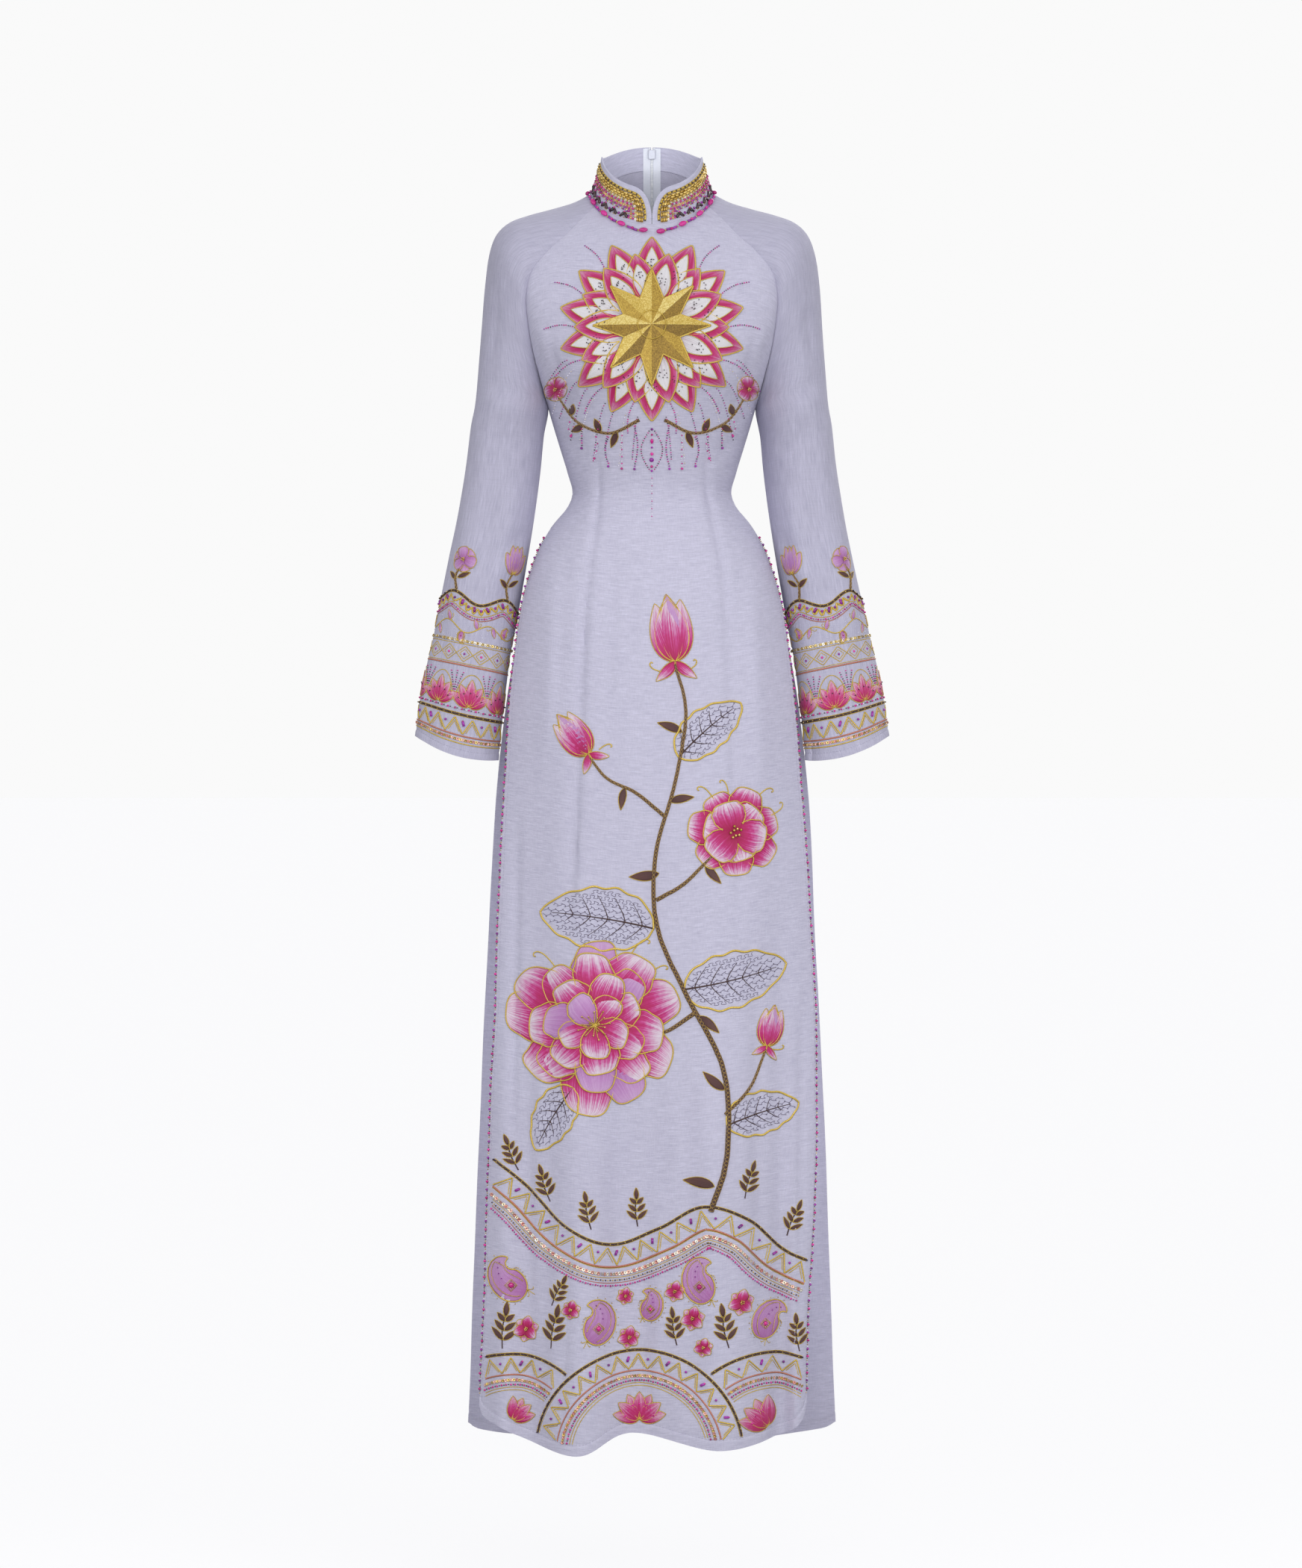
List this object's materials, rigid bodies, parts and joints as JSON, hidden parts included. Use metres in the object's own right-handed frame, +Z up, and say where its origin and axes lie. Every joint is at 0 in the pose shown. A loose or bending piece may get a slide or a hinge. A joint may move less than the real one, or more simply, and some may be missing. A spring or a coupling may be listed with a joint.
{
  "type": "ao dai tunic",
  "caption": "Long fitted stand-collar tunic with raglan sleeves and side slits to the waist, worn and hollow, with an embroidered front and cuffs.",
  "frame": {"origin": "middle of the neck opening, level with the top of the shoulders, where the wearer holds the garment up", "axes": "+Z up, the front faces -Y, +X to the wearer's left"},
  "size_m": [0.5406, 0.2621, 1.4873],
  "materials": {
    "cloth": "fine slubbed plain weave, matt",
    "sleeve_cloth": "fine slubbed plain weave, matt",
    "collar_cloth": "fine slubbed plain weave over a stiff layer",
    "zip_tape": "close woven tape",
    "zip_metal": "satin enamel",
    "thread": "satin stitched silk thread",
    "gold_thread": "couched metallic thread",
    "beads": "glossy beads and sequins"
  },
  "bodies": {
    "root": {"front": "cloth", "back_left": "cloth", "back_right": "cloth", "sleeve_left": "sleeve_cloth", "sleeve_right": "sleeve_cloth", "collar_left": "collar_cloth", "collar_right": "collar_cloth", "zip_tape_left": "zip_tape", "zip_tape_right": "zip_tape", "zip_coil": "zip_tape", "zip_slider": "zip_metal"},
    "pull": {"zip_pull": "zip_metal"}
  },
  "joints": [
    {"name": "zip_pull_hinge", "type": "hinge", "parent": "root", "child": "pull", "pos_m": [0, 0.05708, 0.05279], "axis": [1, 0, 0], "range_deg": [0, 150]}
  ]
}
